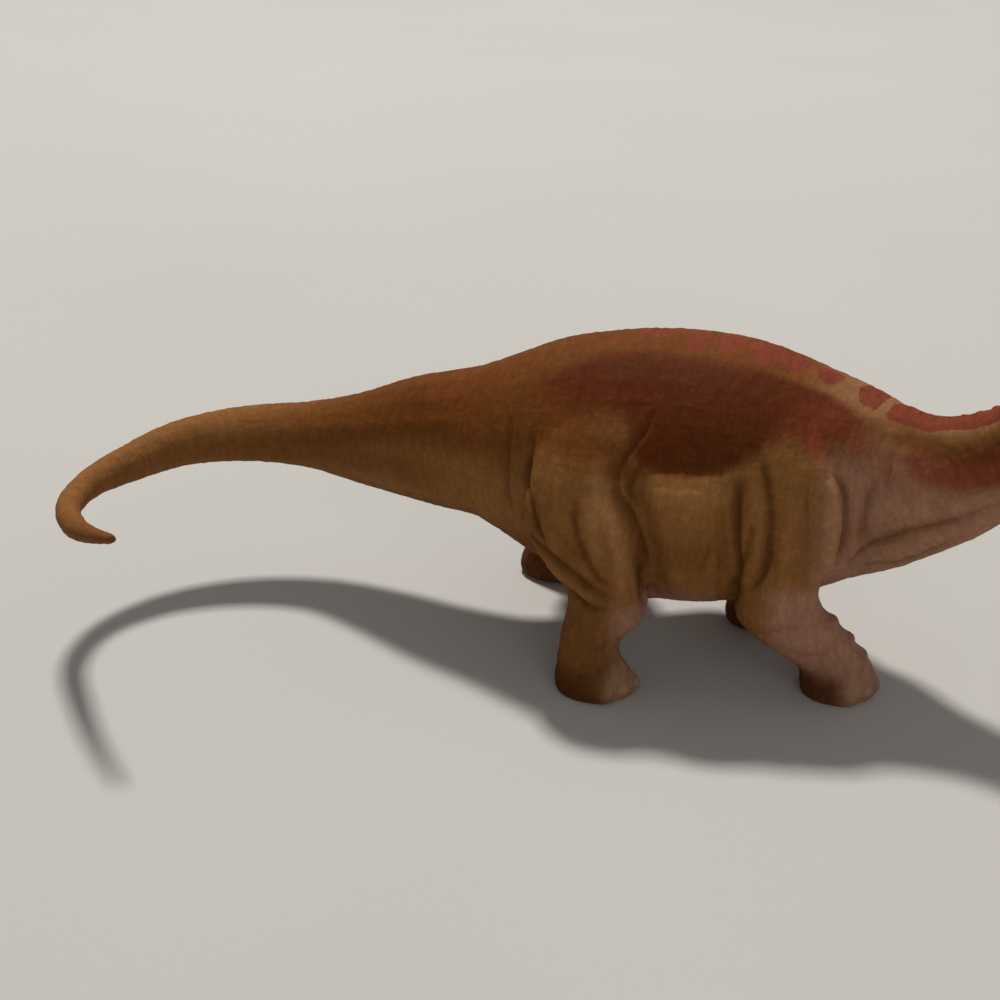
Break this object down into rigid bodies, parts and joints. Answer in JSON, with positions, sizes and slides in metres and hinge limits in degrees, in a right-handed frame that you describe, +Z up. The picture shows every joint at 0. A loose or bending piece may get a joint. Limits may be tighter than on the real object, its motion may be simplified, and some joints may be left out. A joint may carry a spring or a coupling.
{
  "type": "toy dinosaur figure",
  "caption": "Walking long-necked sauropod toy in moulded soft vinyl, with wrinkled skin, a curled tail and airbrushed rust and red markings.",
  "frame": {"origin": "on the ground, at the middle of the box round the whole figure", "axes": "+X toward the head, +Y toward the animal's left side, +Z up"},
  "size_m": [0.2258, 0.0902, 0.091],
  "materials": {
    "body_vinyl": "satin soft vinyl, sand coloured, airbrushed rust brown with a coral red spine",
    "sand_vinyl": "satin soft vinyl, sand coloured, with an orange tint along the top",
    "leg_vinyl": "satin soft vinyl, sand coloured, pinker brown at the feet"
  },
  "bodies": {
    "root": {"torso": "body_vinyl", "tail": "sand_vinyl", "neck": "body_vinyl", "head": "body_vinyl", "hindleg_right": "leg_vinyl", "hindleg_left": "leg_vinyl", "foreleg_right": "leg_vinyl", "foreleg_left": "leg_vinyl"}
  },
  "joints": []
}
